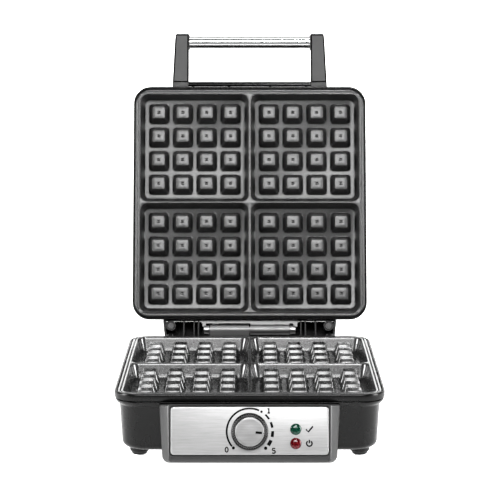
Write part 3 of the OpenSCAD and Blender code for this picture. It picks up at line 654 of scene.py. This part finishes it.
def printing():
    r = 20.4
    parts = [scale_band(220, 66, r, 1.6, 1.6, 60), dot(*on_scale(225, r), 1.4), dot(*on_scale(59, r), 1.1)]
    for k, w in enumerate((1.5, 1.9, 2.4, 2.9)):
        a = 47 - k * 23.0
        parts.append(scale_band(a, a - 14.5, r, w, w + 0.3, 10))
    parts.append(dot(*on_scale(-46, r), 1.5))
    parts += segments(-20.4, -16.0, ZERO, 4.2, 1.0)
    parts += segments(16.8, 18.6, ONE, 4.4, 1.1)
    parts += segments(21.4, -17.0, FIVE, 4.4, 1.1)
    parts += segments(LAMP_X + 12.0, READY_Y, READY_SIGN, 5.8, 1.4)
    parts += segments(LAMP_X + 12.0, POWER_Y, POWER_SIGN, 5.8, 1.2)
    return merge(parts)


make("panel_print", *printing(), PANEL, "base", "pointer_ink", "pointer_ink", smooth=False)


# ------------------------------------------------------------------ dial

KNOB_R = 16.5
KNOB_TOP = 15.8
CAP_R = 12.8


def dial():
    """Skirt, fluted side and the shoulder that holds the cap."""
    flutes, steps = 44, 6
    n = flutes * steps

    def ring(r, z, depth=0.0):
        pts = []
        for i in range(n):
            a = tau * i / n
            k = r - depth * (0.5 + 0.5 * cos(flutes * a)) ** 0.7
            pts.append((k * cos(a), k * sin(a), z))
        return pts

    rings = [ring(KNOB_R - 0.6, 0.8), ring(KNOB_R, 1.3), ring(KNOB_R, 2.6), ring(KNOB_R - 0.3, 3.1),
             ring(KNOB_R - 1.1, 3.5, 0.2), ring(KNOB_R - 1.2, 4.2, 0.75), ring(KNOB_R - 1.7, KNOB_TOP - 2.2, 0.75),
             ring(KNOB_R - 2.1, KNOB_TOP - 1.2, 0.45), ring(KNOB_R - 2.7, KNOB_TOP - 0.4, 0.1),
             ring(KNOB_R - 3.2, KNOB_TOP), ring(12.95, KNOB_TOP), ring(12.9, KNOB_TOP - 0.9)]
    return loft(rings, last_cap=True)


def dial_cap():
    rings = [circle_ring(CAP_R, KNOB_TOP - 0.85), circle_ring(CAP_R, KNOB_TOP + 0.05)]
    for k in range(1, 5):
        a = pi / 2 * k / 4
        rings.append(circle_ring(CAP_R - 0.8 * (1 - cos(a)), KNOB_TOP + 0.05 + 0.5 * sin(a)))
    crown = ((10.4, 0.5), (5.0, 0.62), (1.0, 0.66))
    rings += [circle_ring(r, KNOB_TOP + up) for r, up in crown]
    return loft(rings, last_cap=True)


make("dial_skirt", *dial(), PANEL, "knob", "knob_plastic", "knob_plastic", ["control_knob"], angle=50)
make("dial_cap", *dial_cap(), PANEL, "knob", "panel_steel", "cap_steel", ["knob_cap"], angle=50)
mark = strip([on_scale(-5, 5.2), on_scale(-5, 10.8)], [2.0, 2.0], KNOB_TOP + 0.68)
make("dial_mark", *mark, PANEL, "knob", "pointer_ink", "pointer_ink", ["knob_pointer"], smooth=False)


# ------------------------------------------------------------------ lamps

def lens(y):
    collar = ((3.0, -6.0), (3.0, 0.1), (4.9, 0.25), (5.0, 0.9), (4.7, 1.35), (4.4, 1.4))
    rings = [circle_ring(r, z, 40) for r, z in collar]
    for k in range(1, 7):
        a = pi / 2 * k / 7
        rings.append(circle_ring(4.3 * cos(a), 1.4 + 1.0 * sin(a), 40))
    verts, faces = loft(rings, last_cap=True)
    return [(x + LAMP_X, v + y, z) for x, v, z in verts], faces


make("lens_ready", *lens(READY_Y), PANEL, "base", "green_lens", "green_lens", ["ready_lens"], angle=60)
make("lens_power", *lens(POWER_Y), PANEL, "base", "red_lens", "red_lens", ["power_lens"], angle=60)


# ------------------------------------------------------------------ handle

POST_IN, POST_OUT, POST_TIP, REACH = 64.4, 81.2, 78.2, 182.0
TUBE_R = 7.0
BAR_Y, BAR_Z = -172.3, 16.0


def post(side):
    """One arm: a tapering box with a round nose and soft edges, drawn as sections from the lid to the nose."""
    rings = []
    y0 = -RIM_L / 2 - 1.0
    stations = [(y0, 5.0, 28.0), (-135.0, 5.0, 27.8), (-150.0, 5.0, 27.5), (-164.0, 5.05, 27.1)]
    for k in range(0, 10):
        a = pi / 2 * k / 9 * 0.96
        stations.append((-170.0 - 11.6 * sin(a), BAR_Z - 11 * cos(a), BAR_Z + 11 * cos(a)))
    for y, z0, z1 in stations:
        t = (y - y0) / (-REACH - y0)
        outer = POST_OUT + (POST_TIP - POST_OUT) * t
        x0, x1 = POST_IN, outer
        if y < -176:
            x1 -= 1.2 * (-(y + 176) / 6) ** 2
        r = min(1.1, (z1 - z0) / 2.2)
        ring = rounded_ring(x1 - x0, z1 - z0, r, 0, 4, ((x0 + x1) / 2, (z0 + z1) / 2))
        rings.append([(side * px, y, pz) for px, pz, _ in ring])
    return loft(rings, first_cap=True, last_cap=True)


def handle_foot():
    """The bar that the arms stand on, screwed to the lid's front wall."""
    y1, y0 = -RIM_L / 2 - 1.1, -127.6
    rings = []
    for inset, y in ((0.0, y1), (0.0, y0 + 1.2), (0.35, y0 + 0.35), (1.2, y0)):
        ring = rounded_ring(2 * POST_OUT - 0.6 - 2 * inset, 22 - 2 * inset, 2.0 - inset / 2, 0, 5, (0, 17))
        rings.append([(px, y, pz) for px, pz, _ in ring])
    return loft(rings, first_cap=True, last_cap=True)


def post_cover(side, grow, z0, z1):
    """Flat cover let into the plate side of an arm, or, when grown, a slightly larger near-black sheet round it
    that is painted shade of the gap the cover lies in.
    """
    y0, y1 = -128.6, -177.4
    rings = []
    for inset, z in ((0.0, z1), (0.0, z0 + 0.2), (0.2, z0)):
        ring = []
        for y, edge in ((y0, 1), (y1, -1)):
            t = (y + RIM_L / 2) / (-REACH + RIM_L / 2)
            outer = POST_OUT + (POST_TIP - POST_OUT) * t - 1.5 - inset + grow
            ring.append((y + edge * (grow - inset), POST_IN + 1.2 + inset - grow, outer))
        (ya, a0, a1), (yb, b0, b1) = ring
        rings.append([(side * a0, ya, z), (side * a1, ya, z), (side * b1, yb, z), (side * b0, yb, z)])
    return loft(rings, first_cap=True, last_cap=True)


def flat_box(half, y0, y1, z0, z1):
    """A thin bar across the handle's foot with softened corners."""
    rings = []
    for inset, z in ((0.3, z0), (0.0, z0 + 0.3), (0.0, z1)):
        rings.append(rounded_ring(2 * (half - inset), y1 - y0 - 2 * inset, 0.4, z, 3, (0, (y0 + y1) / 2)))
    return loft(rings, first_cap=True, last_cap=True)


make("handle_arms", *merge([post(-1), post(1)]), LID, "lid", "handle_plastic", "handle_plastic", ["handle_frame"],
     angle=40)
make("handle_foot", *handle_foot(), LID, "lid", "handle_plastic", "casing_dark", angle=40)
covers = merge([post_cover(-1, 0, 4.55, 5.4), post_cover(1, 0, 4.55, 5.4)])
# painted shade: a near-black bar under the handle's foot, where the foot meets the lid, stands for the shade in
# that seam
seam_shade = flat_box(80.6, -124.8, -123.3, 5.7, 6.4)
# painted shade: grown near-black copies of the arm covers show as dark rims round each cover, joined with the seam
# bar
gap_shade = merge([post_cover(-1, 1.1, 4.85, 5.4), post_cover(1, 1.1, 4.85, 5.4), seam_shade])
make("handle_gap_shade", *gap_shade, LID, "lid", "pointer_ink", "shadow_gap", angle=30)
lip = flat_box(73.0, -127.9, -126.8, 4.9, 6.6)
make("handle_lip", *lip, LID, "lid", "handle_plastic", "handle_plastic", angle=30)
make("handle_arm_covers", *covers, LID, "lid", "handle_plastic", "handle_plastic", ["handle_covers"], angle=30)


def tube():
    rings = [[(x, BAR_Y + TUBE_R * cos(tau * i / 64), BAR_Z + TUBE_R * sin(tau * i / 64)) for i in range(64)]
             for x in (-POST_IN - 1, POST_IN + 1)]
    collars = []
    for s in (-1, 1):
        section = ((POST_IN + 0.5, 8.0), (POST_IN - 0.5, 8.0), (POST_IN - 0.9, 7.6), (POST_IN - 0.9, 7.0))
        ring = [[(s * x, BAR_Y + r * cos(tau * i / 64), BAR_Z + r * sin(tau * i / 64)) for i in range(64)]
                for x, r in section]
        collars.append(loft(ring))
    return loft(rings, first_cap=True, last_cap=True), merge(collars)


bar, collars = tube()
make("grip_tube", *bar, LID, "lid", "grip_steel", "grip_steel", ["handle_bar"], angle=60)
make("grip_collars", *collars, LID, "lid", "handle_plastic", "handle_plastic", angle=30)


# ------------------------------------------------------------------ feet

def foot(x, y):
    cup = [
        (4.4, -59.2), (6.0, -59.2), (6.6, -58.9), (7.0, -58.2), (7.5, -56.6), (8.3, -56.2), (8.7, -55.6),
        (8.8, -54.6), (8.8, BOTTOM), (7.0, BOTTOM + 0.2),
    ]
    cup_rings = [circle_ring(r, z, 48) for r, z in cup]
    verts, faces = loft(cup_rings, first_cap=True, last_cap=True)
    return [(vx + x, vy + y, vz) for vx, vy, vz in verts], faces


def foot_pad(x, y):
    pad = [(3.9, -61.5), (4.5, -61.2), (4.8, -60.6), (4.8, -59.6), (4.4, -59.2)]
    verts, faces = loft([circle_ring(r, z, 40) for r, z in pad], first_cap=True, last_cap=True)
    return [(vx + x, vy + y, vz) for vx, vy, vz in verts], faces


FOOT_X, FOOT_Y = 100.3, 98.0
spots = [(sx * FOOT_X, sy * FOOT_Y) for sx in (-1, 1) for sy in (-1, 1)]
cups = merge([foot(x, y) for x, y in spots])
make("foot_cups", *cups, BASE, "base", "base_plastic", "base_plastic", ["feet"])
soles = merge([foot_pad(x, y) for x, y in spots])
make("foot_soles", *soles, BASE, "base", "pad_rubber", "pad_rubber", ["foot_pads"])

# ------------------------------------------------------------------ floor, light, camera

def area(name, at, to, size, power, size_y=None):
    light = bpy.data.lights.new(name, "AREA")
    light.shape = "RECTANGLE"
    light.size = size
    light.size_y = size_y or size
    light.energy = power
    obj = bpy.data.objects.new(name, light)
    obj.location = at
    obj.rotation_euler = (Vector(to) - Vector(at)).to_track_quat("-Z", "Y").to_euler()
    bpy.context.scene.collection.objects.link(obj)
    return obj


def glow(name, at, size, strength, tilt=90.0):
    """A plain white backdrop that shines softly."""
    mesh = bpy.data.meshes.new(name)
    h = size / 2
    mesh.from_pydata([(-h, -h, 0), (h, -h, 0), (h, h, 0), (-h, h, 0)], [], [(0, 1, 2, 3)])
    obj = bpy.data.objects.new(name, mesh)
    obj.location = at
    obj.rotation_euler = (radians(tilt), 0, 0)
    bpy.context.scene.collection.objects.link(obj)
    mat, _, shader = new_material(name)
    shader.inputs["Base Color"].default_value = (0.9, 0.9, 0.9, 1)
    shader.inputs["Emission Color"].default_value = (1, 1, 1, 1)
    shader.inputs["Emission Strength"].default_value = strength
    mesh.materials.append(mat)
    return obj


def studio():
    world = bpy.data.worlds.new("studio")
    world.use_nodes = True
    world.node_tree.nodes["Background"].inputs["Color"].default_value = (1, 1, 1, 1)
    world.node_tree.nodes["Background"].inputs["Strength"].default_value = 0.03
    bpy.context.scene.world = world
    bpy.context.scene.view_settings.view_transform = "Standard"
    bpy.context.scene.view_settings.look = "Medium High Contrast"
    mesh = bpy.data.meshes.new("floor")
    s = 30.0
    mesh.from_pydata([(-s, -s, 0), (s, -s, 0), (s, s, 0), (-s, s, 0)], [], [(0, 1, 2, 3)])
    floor = bpy.data.objects.new("floor", mesh)
    bpy.context.scene.collection.objects.link(floor)
    mat, tree, shader = new_material("floor_paper")
    shader.inputs["Emission Color"].default_value = (1, 1, 1, 1)
    place = add(tree, "ShaderNodeTexCoord")
    axes = add(tree, "ShaderNodeSeparateXYZ")
    tree.links.new(place.outputs["Object"], axes.inputs["Vector"])
    near = spread(tree, axes.outputs["Y"], 0.0, 1.0, -0.6, -0.3)
    tree.links.new(spread(tree, near, 0.0, 0.96, 0.0, 1.0), shader.inputs["Emission Strength"])
    tree.links.new(two_tone(tree, near, (0.3,) * 3, (0.8,) * 3, 0.0, 1.0), shader.inputs["Base Color"])
    tree.links.new(spread(tree, noise(tree, 3.0), 0.6, 0.7), shader.inputs["Roughness"])
    mesh.materials.append(mat)
    glow("backdrop", (0, 2.6, 0), 12.0, 1.0)
    area("front_box", (0.0, -2.6, 1.62), (0, 0.1, 0.15), 1.3, 66, 0.9)
    area("key", (0.25, -1.2, 1.7), (0, -0.1, 0.1), 0.16, 9, 0.16)
    area("top_box", (0.0, -0.1, 1.9), (0, 0.0, 0.1), 1.0, 10, 0.7)
    area("left_box", (-1.4, -0.55, 0.45), (0, 0.0, 0.1), 0.5, 38, 1.0)
    area("right_box", (1.4, -0.55, 0.45), (0, 0.0, 0.1), 0.5, 38, 1.0)


CAMERA_BACK, CAMERA_UP = 1.6411, 0.3896   # from the middle of the lower plate, metres
CAMERA_DOWN = 9.604                      # degrees
CAMERA_LENS = 126.04


def camera():
    cam = bpy.data.cameras.new("camera")
    cam.sensor_width = 36.0
    cam.lens = CAMERA_LENS
    obj = bpy.data.objects.new("camera", cam)
    obj.location = (0.0003, MIDDLE.y - CAMERA_BACK, MIDDLE.z + CAMERA_UP)
    obj.rotation_euler = (radians(90 - CAMERA_DOWN), 0, 0)
    bpy.context.scene.collection.objects.link(obj)
    bpy.context.scene.camera = obj


studio()
camera()
